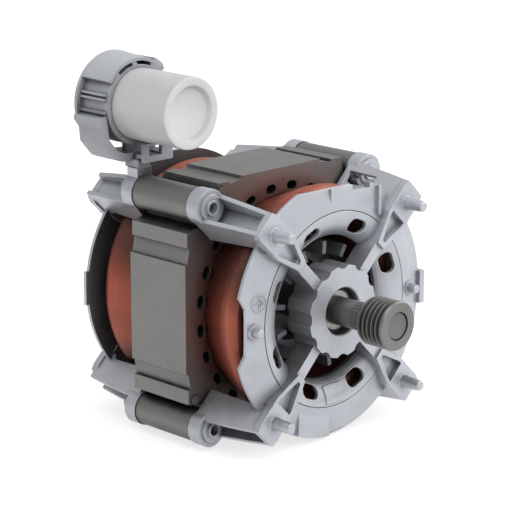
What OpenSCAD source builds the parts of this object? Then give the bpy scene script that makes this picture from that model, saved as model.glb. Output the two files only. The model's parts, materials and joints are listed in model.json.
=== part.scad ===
// Drive motor of a front loading washing machine, as an assembly.
// Every module is drawn on the motor's own axis: x to the right, y up, and z out of the drive end.
// The zero of z is the plane of the four mounting pads. The last step stands the motor on its side,
// with the shaft along Y and the drive end towards minus Y.

/* [Stator] */
// Width across the flats of the laminated stack
stack_flats = 112; // [111:0.5:113]
// Length of the laminated stack along the shaft
stack_len = 33.5; // [25:0.5:45]
// Number of stator slots
slot_count = 24; // [24]
// Radius of the bore that the rotor turns in
bore_r = 29.3; // [29.2:0.1:29.6]
// Width of each stator tooth
tooth_w = 4; // [3.6:0.1:4.4]
// Square pitch of the four tie screws
tie_pitch = 95; // [94.5:0.25:95.5]
// Thread size of the tie screws
tie_d = 5; // [4.5:0.25:5.5]

/* [Rotor] */
// Clearance between the rotor and the stator bore
air_gap = 0.3; // [0.25:0.05:0.4]
// Number of bars in the cage
bar_count = 30; // [20:1:34]
// Number of cooling blades on each end ring
blade_count = 13; // [9:1:16]
// Seat diameter of the shaft in both bearings
shaft_d = 12; // [12]
// Shaft diameter inside the rotor
rotor_seat_d = 16; // [15:0.5:17]

/* [Bearings] */
// Outer diameter of each ball bearing
bearing_od = 28; // [28]
// Width of each ball bearing
bearing_w = 8; // [8]
// Balls in each bearing
ball_count = 8; // [6:1:8]
// Ball diameter
ball_d = 4.76; // [4.5:0.02:4.8]

/* [Shields] */
// Distance from the mounting pads back to the stack face
front_depth = 35.65; // [35:0.1:37]
// The same distance on the rear shield
rear_depth = 37.35; // [36.5:0.1:38]
// Outer diameter of the shield ring
ring_d = 111; // [110:0.5:111]
// Inner diameter of the ring, where the air goes in
ring_hole_d = 61.8; // [60:0.2:63]
// Outer diameter of the bearing hub
hub_d = 39.6; // [38:0.2:41]
// Wall thickness of the casting
wall = 2.2; // [1.8:0.1:2.4]
// Thickness of the ribs that carry the hub
rib_w = 5; // [4:0.25:6]
// Square pitch of the four mounting studs
stud_pitch = 79.4; // [79:0.1:80]
// Stud diameter
stud_d = 5; // [4.5:0.1:5.4]
// Stud length above the pad
stud_len = 9.8; // [8:0.2:12]

/* [Pulley] */
// Diameter over the crests of the belt grooves
pulley_d = 20.7; // [20:0.1:22]
// Number of belt grooves
groove_count = 5; // [4:1:5]
// Pitch of the belt grooves
groove_pitch = 2.34; // [2.34]

/* [Capacitor] */
// Diameter of the capacitor can
can_d = 30; // [29:0.25:30.25]
// Length of the capacitor can
can_len = 49; // [46:0.5:50]

/* [Hidden] */
$fn = 64;
fit = 0.01;
slip = 0.1;
sheet = 0.25;

// planes along the shaft
stack_front = -front_depth;
stack_rear = stack_front - stack_len;
rear_pad = stack_rear - rear_depth;
bearing_set = 3.1;
front_race = -bearing_set;
rear_race = rear_pad + bearing_set;
rear_gap = 0.8;

// stack outline, one half side, as distance along the side and height above the axis
half_flat = stack_flats / 2;
lobe_c = tie_pitch / 2;
lobe_r = 7.25;
half_side = [[23.3, half_flat], [23.5, half_flat - 1.2], [30.3, half_flat - 2.5],
             [30.5, half_flat - 1.2], [36.7, half_flat - 1.2], [38.4, half_flat - 9.5]];
turn_top = min(front_depth, rear_depth) - 11.15;
protector_at = 42.5;
protector_len = 18;
protector_r = 3.5;
protector_t = 4.2;
slot_step = 360 / slot_count;
slot_in = bore_r + 1.6;
slot_out = 44.2;
mouth_w = 2.2;
vent_r = 47.7;
rivet_at = [-51.3, -35.2];
rivet_r = 1.3;

// shield casting
ring_r = ring_d / 2;
hole_r = ring_hole_d / 2;
crown_r = 12.6;
crown_x = 41.7;
crown_z = -3.6;
rim_z = -6.4;
rim_back = -11.6;
dent_half = 9.5;
boss_r = 7.7;
boss_len = 6.25;
stud_u = stud_pitch / sqrt(2);
boss_u = tie_pitch / sqrt(2);
arm_in = stud_u - 3.1;
arm_half = 5.6;
arm_end = boss_u - 3.2;
arm_boss = boss_u - 0.2;
arm_wall = 1.8;
floor_u = stud_u + 1.05;
// the rear arms carry no stud, so their web keeps its place beside the screw boss
rear_web_u = boss_u - 8.38;
rear_end_u = rear_web_u + 2.2;
pocket_arc = 6.2;
rear_less = 1.1;
ring_web = 1.5;
pad_lift = 0.4;
pocket_deep = 3.2;
hub_r = hub_d / 2;
hub_back = -12.9;
hub_rise = 0.5;
rib_top = -1.2;
rib_back = -10.8;
plate_z = -4.4;
pin_at = 47.4;
pin_r = 1.9;
pin_seat = 3.8;
bearing_r = bearing_od / 2;

// rotor
rotor_r = bore_r - air_gap;
shaft_r = shaft_d / 2;
seat_r = rotor_seat_d / 2;
end_ring_t = 8;
end_ring_in = 18;
bar_r = 2;
bar_at = 25.4;
blade_top = 24;
shaft_front = 30.6;
shaft_rear = rear_race - 0.6;

// bearing races
ball_at = 10;
groove_r = ball_d / 2 + 0.07;
inner_race_r = 8.4;
outer_race_r = 11.6;

// pulley
pulley_back = 16.5;
pulley_front = 31.1;
groove_mid = 24;
groove_deep = 2.1;
pulley_r = pulley_d / 2;

// capacitor and its holder
lug_top = lobe_c + 10.5;
cap_right = 0.5;
cap_up = 26.6;
can_r = can_d / 2;
can_front = stack_rear + 28.45;
can_rear = can_front - can_len;
cup_in = can_r + 0.1;
cup_front = stack_rear - 3.25;
cup_rear = cup_front - 16;
flange_t = 1.5;
hood_r = 20.4;

die_cast = [0.74, 0.75, 0.8];
steel_grey = [0.45, 0.45, 0.45];
dark_steel = [0.35, 0.35, 0.35];
copper_red = [0.7, 0.33, 0.25];
cast_alloy = [0.62, 0.63, 0.65];
white_plastic = [0.88, 0.88, 0.88];
grey_plastic = [0.66, 0.68, 0.72];

// a point on an arc
function arc(cx, cy, r, a0, a1, n) =
    [for (i = [0:n]) let (a = a0 + (a1 - a0) * i / n) [cx + r * cos(a), cy + r * sin(a)]];
function turn(p, a) = [p[0] * cos(a) - p[1] * sin(a), p[0] * sin(a) + p[1] * cos(a)];
function flip(list) = [for (i = [len(list) - 1:-1:0]) [-list[i][0], list[i][1]]];

// stand the motor on its side
module on_side() {
    rotate([90, 0, 0]) children();
}

// the rear shield looks the other way
module rear_way() {
    translate([0, 0, rear_pad]) mirror([0, 0, 1]) children();
}

module on_diagonals() {
    for (k = [0:3]) rotate(45 + 90 * k) children();
}

// The stack of punched steel sheets
module stack_body() {
    side = concat(flip(half_side), half_side);
    neck = [[lobe_c - 4.5, lobe_c - 0.6], [lobe_c - 0.6, lobe_c - 4.5]];
    linear_extrude(stack_len)
        polygon([for (k = [0:3]) each [for (p = concat(side, neck)) turn(p, -90 * k)]]);
    on_diagonals() translate([boss_u, 0, 0]) cylinder(r = lobe_r, h = stack_len);
}

function slot_half(r, clear) = PI * r / slot_count - tooth_w / 2 - clear;

module slot_shape(r0, r1, clear) {
    polygon([[r0, -slot_half(r0, clear)], [r1, -slot_half(r1, clear)],
             [r1, slot_half(r1, clear)], [r0, slot_half(r0, clear)]]);
}

module all_slots() {
    for (k = [0:slot_count - 1]) rotate(slot_step * k) children();
}

// everything that is punched out of a lamination
module stack_cuts() {
    circle(bore_r);
    all_slots() slot_shape(slot_in, slot_out, 0);
    all_slots() translate([bore_r - 1, -mouth_w / 2]) square([3, mouth_w]);
    rotate(slot_step / 2) all_slots() translate([vent_r, 0]) vent_oval();
    on_diagonals() translate([boss_u, 0]) circle(tie_d / 2 + 0.25);
    for (k = [0:3]) rotate(90 * k) translate(rivet_at) circle(rivet_r + fit);
}

module stator_core() {
    color(steel_grey) on_side() translate([0, 0, stack_rear]) difference() {
        stack_body();
        translate([0, 0, -1]) linear_extrude(stack_len + 2) stack_cuts();
    }
}

module vent_oval() {
    for (s = [-1, 1]) translate([0, 0.95 * s]) circle(1.95);
    translate([-1.95, -0.95]) square([3.9, 1.9]);
}

module stack_rivets() {
    color(cast_alloy) on_side() for (k = [0:3]) rotate(90 * k) translate(rivet_at) {
        translate([0, 0, stack_rear]) cylinder(r = rivet_r, h = stack_len);
        translate([0, 0, stack_front]) cylinder(r = rivet_r + 0.6, h = 0.7);
        translate([0, 0, stack_rear - 0.7]) cylinder(r = rivet_r + 0.6, h = 0.7);
    }
}

// The winding in the slots and its two end turns
// outline of one end turn, as radius and height above the stack face
module end_turn_shape() {
    polygon(concat(
        [[33, 0.5], [44.4, 0.5], [46.4, 5.5], [50.4, turn_top - 9.5]],
        arc(46.6, turn_top - 4.9, 4.9, -15, 90, 6),
        arc(41.2, turn_top - 3.5, 3.5, 90, 180, 5),
        [[36.3, turn_top - 10.5], [33, 5]]));
}

module end_turn() {
    rotate_extrude($fn = 96) end_turn_shape();
}

module stator_winding() {
    color(copper_red) on_side() {
        translate([0, 0, stack_front]) end_turn();
        translate([0, 0, stack_rear]) mirror([0, 0, 1]) end_turn();
        translate([0, 0, stack_rear - 1]) linear_extrude(stack_len + 2)
            all_slots() slot_shape(slot_in + 1.6, slot_out - sheet - slip, sheet + slip);
    }
}

module slot_liners() {
    color([0.86, 0.84, 0.76]) on_side() translate([0, 0, stack_rear - 0.4])
        linear_extrude(stack_len + 0.8) all_slots() difference() {
            slot_shape(slot_in + 1.4, slot_out - 0.03, 0.03);
            slot_shape(slot_in + 1, slot_out - sheet, sheet);
        }
}

module slot_wedges() {
    color([0.8, 0.72, 0.5]) on_side() translate([0, 0, stack_rear - 0.4])
        linear_extrude(stack_len + 0.8) all_slots() slot_shape(slot_in + 0.1, slot_in + 1.2, 0.06);
}

module thermal_protector() {
    color([0.15, 0.15, 0.16]) on_side()
        translate([0, protector_at, stack_rear - turn_top - protector_t - 0.2]) {
            translate([-protector_len / 2, -protector_r, 0])
                cube([protector_len, 2 * protector_r, protector_t]);
            for (s = [-1, 1]) translate([protector_len / 2 * s, 0, 0])
                cylinder(r = protector_r, h = protector_t);
        }
}

// The rotor with its cast cage and the shaft
module rotor_core() {
    color(dark_steel) on_side() translate([0, 0, stack_rear]) linear_extrude(stack_len)
        difference() {
            circle(rotor_r);
            circle(seat_r + fit);
            for (k = [0:bar_count - 1]) rotate(360 / bar_count * k) translate([bar_at, 0])
                circle(bar_r + fit);
        }
}

module cage_end() {
    difference() {
        cylinder(r1 = rotor_r, r2 = rotor_r - 0.4, h = end_ring_t, $fn = 96);
        translate([0, 0, -1]) cylinder(r = end_ring_in, h = end_ring_t + 2);
    }
    for (k = [0:blade_count - 1]) rotate(4 + 360 / blade_count * k)
        rotate([90, 0, 0]) translate([0, 0, -1]) linear_extrude(2)
            polygon([[21.6, end_ring_t - 1], [28.4, end_ring_t - 1], [27.8, blade_top],
                     [22.4, blade_top]]);
}

module rotor_cage() {
    color(cast_alloy) on_side() {
        translate([0, 0, stack_front]) cage_end();
        translate([0, 0, stack_rear]) mirror([0, 0, 1]) cage_end();
        translate([0, 0, stack_rear - 1]) for (k = [0:bar_count - 1])
            rotate(360 / bar_count * k) translate([bar_at, 0]) cylinder(r = bar_r, h = stack_len + 2);
    }
}

module shaft() {
    color(steel_grey) on_side() difference() {
        union() {
            translate([0, 0, shaft_rear + 0.6]) cylinder(r = shaft_r, h = shaft_front - shaft_rear - 1.2);
            translate([0, 0, shaft_front - 0.6]) cylinder(r1 = shaft_r, r2 = shaft_r - 0.5, h = 0.6);
            translate([0, 0, shaft_rear]) cylinder(r1 = shaft_r - 0.5, r2 = shaft_r, h = 0.6);
            translate([0, 0, rear_race + bearing_w]) cylinder(r = seat_r,
                h = front_race - rear_race - 2 * bearing_w);
        }
        // undercut behind the pulley seat, and the grip of a knurled band
        translate([0, 0, 3.6]) difference() {
            cylinder(r = shaft_r + 1, h = 0.7);
            translate([0, 0, -1]) cylinder(r = shaft_r - 0.3, h = 3);
        }
        for (k = [0:23]) rotate(15 * k) translate([shaft_r + 0.15, 0, 9.6])
            cylinder(r = 0.4, h = 4, $fn = 16);
    }
}

// The belt pulley
function groove_points(k) = let (z = groove_mid + groove_pitch * (k - (groove_count - 1) / 2))
    [[pulley_r, z - groove_pitch / 2 + 0.22], [pulley_r - groove_deep, z - 0.2],
     [pulley_r - groove_deep, z + 0.2], [pulley_r, z + groove_pitch / 2 - 0.22]];

module drive_pulley() {
    color(steel_grey) on_side() rotate_extrude($fn = 96) polygon(concat(
        [[shaft_r + fit, pulley_back], [pulley_r - 1.2, pulley_back], [pulley_r - 0.65, pulley_back + 0.5]],
        [for (k = [0:groove_count - 1]) each groove_points(k)],
        [[pulley_r, pulley_front - 0.5], [pulley_r - 0.5, pulley_front], [shaft_r + fit, pulley_front]]));
}

// The ball bearings, drawn with the outer face at zero and the body behind it ----
module at_front_bearing() {
    on_side() translate([0, 0, front_race]) children();
}

module at_rear_bearing() {
    on_side() rear_way() translate([0, 0, -bearing_set]) children();
}

module outer_race() {
    color(cast_alloy) rotate_extrude() difference() {
        translate([outer_race_r, -bearing_w]) square([bearing_r - outer_race_r, bearing_w]);
        translate([ball_at, -bearing_w / 2]) circle(groove_r);
    }
}

module inner_race() {
    color(cast_alloy) rotate_extrude() difference() {
        translate([shaft_r + fit, -bearing_w]) square([inner_race_r - shaft_r - fit, bearing_w]);
        translate([ball_at, -bearing_w / 2]) circle(groove_r);
    }
}

module balls() {
    color([0.8, 0.8, 0.82]) for (k = [0:ball_count - 1]) rotate(360 / ball_count * k)
        translate([ball_at, 0, -bearing_w / 2]) sphere(d = ball_d, $fn = 32);
}

module ball_cage() {
    color([0.75, 0.62, 0.3]) difference() {
        rotate_extrude() translate([ball_at - 0.6, -bearing_w / 2 - 2.7]) square([1.2, 5.4]);
        for (k = [0:ball_count - 1]) rotate(360 / ball_count * k)
            translate([ball_at - 2, 0, -bearing_w / 2]) rotate([0, 90, 0])
                cylinder(r = ball_d / 2 + 0.09, h = 4);
    }
}

module seals() {
    color([0.12, 0.12, 0.13]) for (z = [-0.75, -bearing_w + 0.25]) translate([0, 0, z])
        rotate_extrude() translate([inner_race_r + slip, 0])
            square([outer_race_r - inner_race_r - slip - fit, 0.5]);
}

module front_outer_race() { at_front_bearing() outer_race(); }
module front_inner_race() { at_front_bearing() inner_race(); }
module front_balls() { at_front_bearing() balls(); }
module front_ball_cage() { at_front_bearing() ball_cage(); }
module front_seals() { at_front_bearing() seals(); }
module rear_outer_race() { at_rear_bearing() outer_race(); }
module rear_inner_race() { at_rear_bearing() inner_race(); }
module rear_balls() { at_rear_bearing() balls(); }
module rear_ball_cage() { at_rear_bearing() ball_cage(); }
module rear_seals() { at_rear_bearing() seals(); }

module wave_spring() {
    color(cast_alloy) at_rear_bearing() translate([0, 0, 0.1]) difference() {
        cylinder(r = bearing_r - 0.6, h = rear_gap - 0.2);
        translate([0, 0, -1]) cylinder(r = outer_race_r + 0.2, h = 3);
    }
}

// The casting that both shields share
// outline of the front ring seen along the shaft, with a flat along the top and a shallow dent on the left
module front_outline(inset) {
    difference() {
        circle(ring_r - inset, $fn = 128);
        translate([-60, 51.9 - inset]) square([120, 20]);
        polygon([[-50.8 + inset, -dent_half], [-50.8 + inset, dent_half], [-55 + inset, dent_half + 8],
                 [-70, dent_half + 8], [-70, -dent_half - 8], [-55 + inset, -dent_half - 8]]);
    }
}

// outline of the rear ring, a little smaller and round, with a small tab on the left
module rear_outline(inset) {
    circle(ring_r - rear_less - inset, $fn = 128);
    translate([-ring_r - 0.4, -6.3]) square([6, 14.8]);
}

// half section of the ring filled in behind: a crown that turns down into the air hole, then a gentle cone
module ring_section() {
    polygon(concat([[hole_r, rim_back]],
        arc(crown_x, crown_z - crown_r, crown_r, 149, 90, 8),
        [[ring_r + 1, rim_z - 0.2], [ring_r + 1, rim_back]]));
}

// half section of the hollow behind the web
module hollow_section(web) {
    polygon(concat([[32, rim_back - 2]],
        arc(crown_x, crown_z - crown_r, crown_r - web, 157, 90, 8),
        [[ring_r + 1, rim_z - 0.2 - web], [ring_r + 1, rim_back - 2]]));
}

module vent_slots() {
    for (k = [0:7]) rotate(22.5 + 45 * k) translate([36, 0, -16]) {
        for (s = [-1, 1]) translate([0, 2 * s, 0]) cylinder(r = 3, h = 14);
        translate([-3, -2, 0]) cube([6, 4, 14]);
    }
}

// the ring of a shield, cut to an outline and hollow behind, so that it ends in a thin open edge
module open_ring(web) {
    difference() {
        intersection() {
            rotate_extrude($fn = 128) ring_section();
            translate([0, 0, -20]) linear_extrude(20) children();
        }
        rotate_extrude($fn = 128) hollow_section(web);
        ring_cuts();
    }
}

module ring_cuts() {
    union() {
        vent_slots();
        // fine groove where the crown meets the cone
        difference() {
            translate([0, 0, crown_z - 0.55]) cylinder(r = crown_x + 0.65, h = 2);
            translate([0, 0, crown_z - 2]) cylinder(r = crown_x + 0.15, h = 4);
        }
    }
}

// one side wall of an arm, leaning outwards towards the boss
module arm_side(depth) {
    lean = atan(1.6 / (depth - boss_len));
    rotate([lean, 0, 0]) translate([0, arm_half, 0]) rotate([90, 0, 0]) linear_extrude(arm_wall)
        polygon([[50.5, -2], [50.5, rim_z - 2], [arm_in, -11], [arm_in, -depth + 0.8],
                 [arm_boss, -depth + 0.8], [arm_boss, -depth + boss_len], [arm_end + 1.2, -12],
                 [arm_end, -2]]);
}

module arm(depth, floor_at, block_end) {
    for (s = [0, 1]) mirror([0, s, 0]) arm_side(depth);
    // web between the two walls
    translate([floor_at, 0, 0]) rotate([0, 3, 0]) rotate([90, 0, 90]) linear_extrude(wall)
        polygon([[-arm_half + 0.9, -1.5], [arm_half - 0.9, -1.5],
                 [arm_half + 0.7, -depth + 0.9], [-arm_half - 0.7, -depth + 0.9]]);
    // end block under the pad
    translate([0, 0, -3.4]) linear_extrude(3.4)
        polygon([[49, arm_half + 0.7], [block_end - 3, arm_half + 0.9], [block_end, arm_half],
                 [block_end, -arm_half], [block_end - 3, -arm_half - 0.9], [49, -arm_half - 0.7]]);
}

module tie_boss(depth) {
    translate([boss_u, 0, -depth]) difference() {
        cylinder(r = boss_r, h = boss_len);
        translate([0, 0, -1]) cylinder(r = tie_d / 2 + fit, h = boss_len + 4);
    }
}

// outline of a gusset between a rib and a pad
module gusset_outline() {
    polygon([[33.6, rib_w / 2], [47, 6.3], [51, 6.5], [51, -6.5], [47, -6.3], [33.6, -rib_w / 2]]);
}

module gusset_pocket() {
    difference() {
        polygon([[36, 0.9], [47.2, 4.7], [52, 4.8], [52, -4.8], [47.2, -4.7], [36, -0.9]]);
        translate([stud_u, 0]) circle(pocket_arc);
    }
}

module hub_flutes() {
    for (k = [0:11]) rotate(30 * k) translate([hub_r + 2.6, 0, hub_back - 1])
        cylinder(r = 4, h = 20);
}

module frame_casting(depth, floor_at, block_end) {
    on_diagonals() {
        arm(depth, floor_at, block_end);
        tie_boss(depth);
        translate([hub_r - 3, -rib_w / 2, rib_back]) cube([20, rib_w, rib_top - rib_back]);
        difference() {
            translate([0, 0, -7]) linear_extrude(7) gusset_outline();
            translate([0, 0, -pocket_deep]) linear_extrude(5) gusset_pocket();
        }
    }
    difference() {
        translate([0, 0, hub_back]) cylinder(r = hub_r, h = hub_rise - hub_back);
        hub_flutes();
    }
}

module front_shield() {
    color(die_cast) on_side() difference() {
        union() {
            open_ring(ring_web) front_outline(0);
            frame_casting(front_depth, floor_u, arm_end);
            // raised mouth of each tie screw thread
            on_diagonals() translate([boss_u, 0, -front_depth]) difference() {
                union() {
                    cylinder(r = 3.3, h = boss_len + 1.9);
                    cylinder(r = 5.6, h = boss_len + 0.9);
                }
                translate([0, 0, -1]) cylinder(r = tie_d / 2 + fit, h = 6);
                cylinder(r = tie_d / 2 - 0.15, h = 12);
            }
            // mounting studs
            on_diagonals() translate([stud_u, 0, -1]) {
                cylinder(r = stud_d / 2, h = stud_len - 2.2);
                translate([0, 0, stud_len - 2.2]) cylinder(r1 = stud_d / 2, r2 = stud_d / 2 - 0.3, h = 2.6);
                translate([0, 0, stud_len + 0.4])
                    cylinder(r1 = stud_d / 2 - 0.3, r2 = stud_d / 2 - 0.7, h = 0.6);
            }
            // small locating pins on the left and right of the ring, each on a flat seat
            for (s = [-1, 1]) translate([pin_at * s, 0, -7]) {
                cylinder(r = pin_r + 1.2, h = 7 - pin_seat);
                cylinder(r = pin_r, h = 6.7);
                translate([0, 0, 6.7]) cylinder(r1 = pin_r, r2 = pin_r - 0.4, h = 0.3);
            }
            // flat plates on the ring, one at the top and one at the bottom
            translate([0, 0, -7]) linear_extrude(plate_z + 7) difference() {
                intersection() {
                    front_outline(0.15);
                    union() {
                        translate([-2.5, 30]) square([28.2, 30]);
                        translate([-21, -60]) square([18.5, 30]);
                    }
                }
                circle(43.5);
            }
            translate([25.2, 36.7, -6]) cube([1.5, 12.6, 3.2]);
            // bare pad on the crown, below the hub
            intersection() {
                rotate_extrude($fn = 128) polygon(concat(
                    arc(crown_x, crown_z - crown_r, crown_r + pad_lift, 132, 90, 8),
                    arc(crown_x, crown_z - crown_r, crown_r - 1, 90, 132, 8)));
                translate([-5.2, -40.6, -12]) cube([11, 7.4, 12]);
            }
            // stop tab on the right of the rim
            translate([54.6, -8.5, -9.4]) cube([2.8, 14.5, 4.8]);
        }
        // bearing pocket and shaft hole
        translate([0, 0, hub_back - 1]) cylinder(r = bearing_r + fit, h = front_race - hub_back + 1);
        translate([0, 0, -20]) cylinder(r = 10.2, h = 30);
        translate([0, 0, hub_rise - 0.5]) cylinder(r1 = 10.2, r2 = 10.9, h = 0.7);
        // notch in the top of the rim
        translate([10.3, 48.9, -12]) cube([10.8, 10, 20]);
        // window in the left wall of the upper right arm
        rotate(45) translate([arm_in + 1, 3, -32]) cube([8, 8, 15]);
    }
}

module rear_shield() {
    color(die_cast) on_side() rear_way() difference() {
        union() {
            open_ring(ring_web) rear_outline(0);
            frame_casting(rear_depth, rear_web_u, rear_end_u);
            // lug that carries the capacitor holder, on the upper left arm
            rotate(135) translate([boss_u, 0, -rear_depth]) rotate(-135)
                translate([-4, 4, 0]) cube([8, 6.5, boss_len]);
        }
        // closed bearing seat with room for the wave spring and the shaft end
        translate([0, 0, hub_back - 1])
            cylinder(r = bearing_r + fit, h = -bearing_set + rear_gap - hub_back + 1);
        translate([0, 0, -bearing_set]) cylinder(r = 9, h = 1.7);
        // screw way through the boss of the lug
        rotate(135) translate([boss_u, 0, -rear_depth]) rotate(-135)
            translate([0, 14, boss_len / 2]) rotate([90, 0, 0]) cylinder(r = 1.25, h = 9);
    }
}

module tie_screws() {
    color(cast_alloy) on_side() on_diagonals() translate([boss_u, 0, 0]) {
        translate([0, 0, stack_rear - boss_len]) cylinder(r = tie_d / 2, h = stack_len + boss_len + 4.6);
        translate([0, 0, stack_rear - boss_len - 1]) cylinder(r = 5, h = 1);
        translate([0, 0, stack_rear - boss_len - 4.4]) difference() {
            cylinder(r = 4.62, h = 3.4, $fn = 6);
            translate([0, 0, -1]) cylinder(r = 2.2, h = 3, $fn = 6);
        }
    }
}

// The capacitor and the holder that carries it
module at_lug() {
    on_side() translate([-lobe_c, lug_top, 0]) children();
}

module at_cap() {
    at_lug() translate([cap_right, cap_up, 0]) children();
}

module capacitor_can() {
    color(white_plastic) at_cap() difference() {
        rotate_extrude() polygon(concat(
            [[0, can_rear], [can_r, can_rear]],
            arc(can_r - 1.8, can_front - 1.8, 1.8, 0, 90, 5),
            [[11.6, can_front], [11.3, can_front - 1.3], [0, can_front - 1.3]]));
        translate([0, 0, can_rear - 1]) cylinder(r = can_r - 1.2, h = 3);
    }
}

module capacitor_lid() {
    color([0.2, 0.2, 0.21]) at_cap() {
        translate([0, 0, can_rear + 0.1]) cylinder(r = can_r - 1.25, h = 1.8);
        for (s = [-1, 1]) translate([4.5 * s - 3.15, -0.4, can_rear - 5.9]) cube([6.3, 0.8, 6.2]);
    }
}

// the part of a turned body between two angles, less than half a turn apart
module between(a0, a1) {
    intersection() {
        children();
        translate([0, 0, -120]) linear_extrude(120)
            polygon([[0, 0], 60 * [cos(a0), sin(a0)], 80 * [cos((a0 + a1) / 2), sin((a0 + a1) / 2)],
                     60 * [cos(a1), sin(a1)]]);
    }
}

module sector(a0, a1, r0, r1, z0, z1) {
    between(a0, a1) rotate_extrude() translate([r0, z0]) square([r1 - r0, z1 - z0]);
}

module capacitor_holder() {
    color(grey_plastic) difference() {
        union() {
            at_cap() {
                // cup round the can, back flange, and the cone shaped hood over the top
                translate([0, 0, cup_rear - flange_t])
                    cylinder(r = cup_in + 2.3, h = cup_front - cup_rear + flange_t);
                for (a = [25, 110]) sector(a, a + 90, cup_in + 1.5, hood_r, cup_rear - flange_t, cup_rear);
                between(62, 146) rotate_extrude()
                    polygon([[cup_in + 1, cup_rear - 1], [hood_r, cup_rear - 1],
                             [hood_r - 1.1, cup_front - 0.4], [cup_in + 1, cup_front - 0.4]]);
                // end block of the hood and its slanted fin
                sector(46, 62, cup_in + 1, hood_r, cup_rear, cup_front - 0.4);
                rotate(40) translate([cup_in + 1, 0, cup_rear]) cube([4, 1.4, cup_front - cup_rear - 1]);
                // axial ribs on the left
                for (a = [163, 169, 186, 192]) rotate(a) translate([cup_in + 1.5, -0.5, cup_rear])
                    cube([2.2, 1, cup_front - cup_rear - 1]);
            }
            holder_strap();
            holder_foot();
        }
        at_cap() {
            for (a = [66, 101]) sector(a, a + 27, cup_in + 1.2, cup_in + 2.7, cup_front - 13, cup_front + 1);
            translate([0, 0, cup_rear - 20]) cylinder(r = cup_in, h = 80);
        }
        // square window of the foot
        at_lug() translate([0.1, 5.2, cup_front - 3.6]) cube([7, 4.2, 14]);
        // way for the screw and its head, down into the lug
        on_side() translate([-lobe_c, 0, stack_rear - boss_len / 2]) rotate([-90, 0, 0]) {
            translate([0, 0, 54]) cylinder(r = 1.6, h = 9);
            translate([0, 0, lug_top + 2.55]) cylinder(r = 2.9, h = 9);
        }
    }
}

// faceted strap that goes down the left side and under the can
module holder_strap() {
    at_lug() translate([0, 0, cup_rear + 0.4]) linear_extrude(cup_front - cup_rear - 1.2)
        difference() {
            polygon([[-21.9, 23], [-21.9, 21], [-19.3, 17.4], [-18.7, 11.5], [-12.7, 4.6], [-8.5, 3],
                     [13, 1.2], [13, 4.2], [6.5, 5.2], [-7.5, 6.4], [-11.1, 8], [-15.5, 13.2],
                     [-16.1, 19], [-16.8, 23]]);
            translate([cap_right, cap_up]) circle(cup_in + 2);
        }
}

// foot with its clips, and the block that stands on the lug
module holder_foot() {
    at_lug() translate([0, 0, cup_front]) {
        translate([-2.7, 1.6, -7.6]) cube([16, 9, 3]);
        translate([-2.7, 4.2, -7.6]) cube([16, 1.6, 14]);
        translate([-2.7, 2.5, 4.4]) cube([16, 8, 2]);
        translate([-3.5, 0.05, -4.8]) cube([7, 3.5, 8]);
    }
}

module holder_screw() {
    color(cast_alloy) on_side() translate([-lobe_c, 0, stack_rear - boss_len / 2]) rotate([-90, 0, 0]) {
        translate([0, 0, lug_top - 5]) cylinder(r = 1.24, h = 7.6);
        translate([0, 0, lug_top + 2.56]) cylinder(r = 2.6, h = 1.5);
    }
}

front_shield();
rear_shield();
stator_core();
stator_winding();
slot_liners();
slot_wedges();
stack_rivets();
tie_screws();
rotor_core();
rotor_cage();
shaft();
drive_pulley();
front_outer_race();
front_inner_race();
front_balls();
front_ball_cage();
front_seals();
rear_outer_race();
rear_inner_race();
rear_balls();
rear_ball_cage();
rear_seals();
wave_spring();
thermal_protector();
capacitor_can();
capacitor_lid();
capacitor_holder();
holder_screw();
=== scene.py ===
# %% [markdown]
# # Washing machine drive motor
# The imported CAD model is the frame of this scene: every piece of it stays where it is, and this script
# gives it its surfaces, its small cast and moulded details, the studio and the camera. The real motor is a
# handful of plain industrial finishes side by side: cool light grey die-cast aluminium, dark lacquered
# steel sheets, red enamelled copper wire and white moulded plastic. The look comes from keeping those
# finishes apart, each with its own grain.

# %% Load the frame
import json
import math

import bpy
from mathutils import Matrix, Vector


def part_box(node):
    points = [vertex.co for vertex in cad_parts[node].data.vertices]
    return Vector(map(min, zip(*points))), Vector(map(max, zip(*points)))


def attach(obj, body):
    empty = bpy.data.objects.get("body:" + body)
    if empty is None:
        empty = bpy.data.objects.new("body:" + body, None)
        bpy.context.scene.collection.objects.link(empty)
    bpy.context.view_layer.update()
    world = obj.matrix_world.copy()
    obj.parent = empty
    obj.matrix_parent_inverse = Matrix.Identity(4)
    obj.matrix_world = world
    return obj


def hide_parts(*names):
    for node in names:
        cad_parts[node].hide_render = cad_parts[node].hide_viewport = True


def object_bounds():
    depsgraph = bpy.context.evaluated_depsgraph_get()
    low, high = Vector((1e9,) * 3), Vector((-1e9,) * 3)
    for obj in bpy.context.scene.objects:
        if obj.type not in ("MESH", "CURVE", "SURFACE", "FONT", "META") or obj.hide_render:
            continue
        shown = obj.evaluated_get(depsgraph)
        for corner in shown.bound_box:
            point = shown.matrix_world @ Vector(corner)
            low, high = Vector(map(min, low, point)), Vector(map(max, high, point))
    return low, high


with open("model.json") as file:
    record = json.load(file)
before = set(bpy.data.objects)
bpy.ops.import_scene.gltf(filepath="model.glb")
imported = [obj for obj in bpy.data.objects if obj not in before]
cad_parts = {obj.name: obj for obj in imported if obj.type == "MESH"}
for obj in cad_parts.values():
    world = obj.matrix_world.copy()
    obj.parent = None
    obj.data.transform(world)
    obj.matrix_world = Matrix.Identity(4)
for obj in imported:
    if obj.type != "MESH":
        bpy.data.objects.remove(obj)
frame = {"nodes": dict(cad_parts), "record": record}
cad_low, cad_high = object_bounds()
nodes = frame["nodes"]
MM = 0.001
print("nodes:", len(nodes), "box:", [round(v / MM, 1) for v in cad_high - cad_low], "mm")

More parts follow.
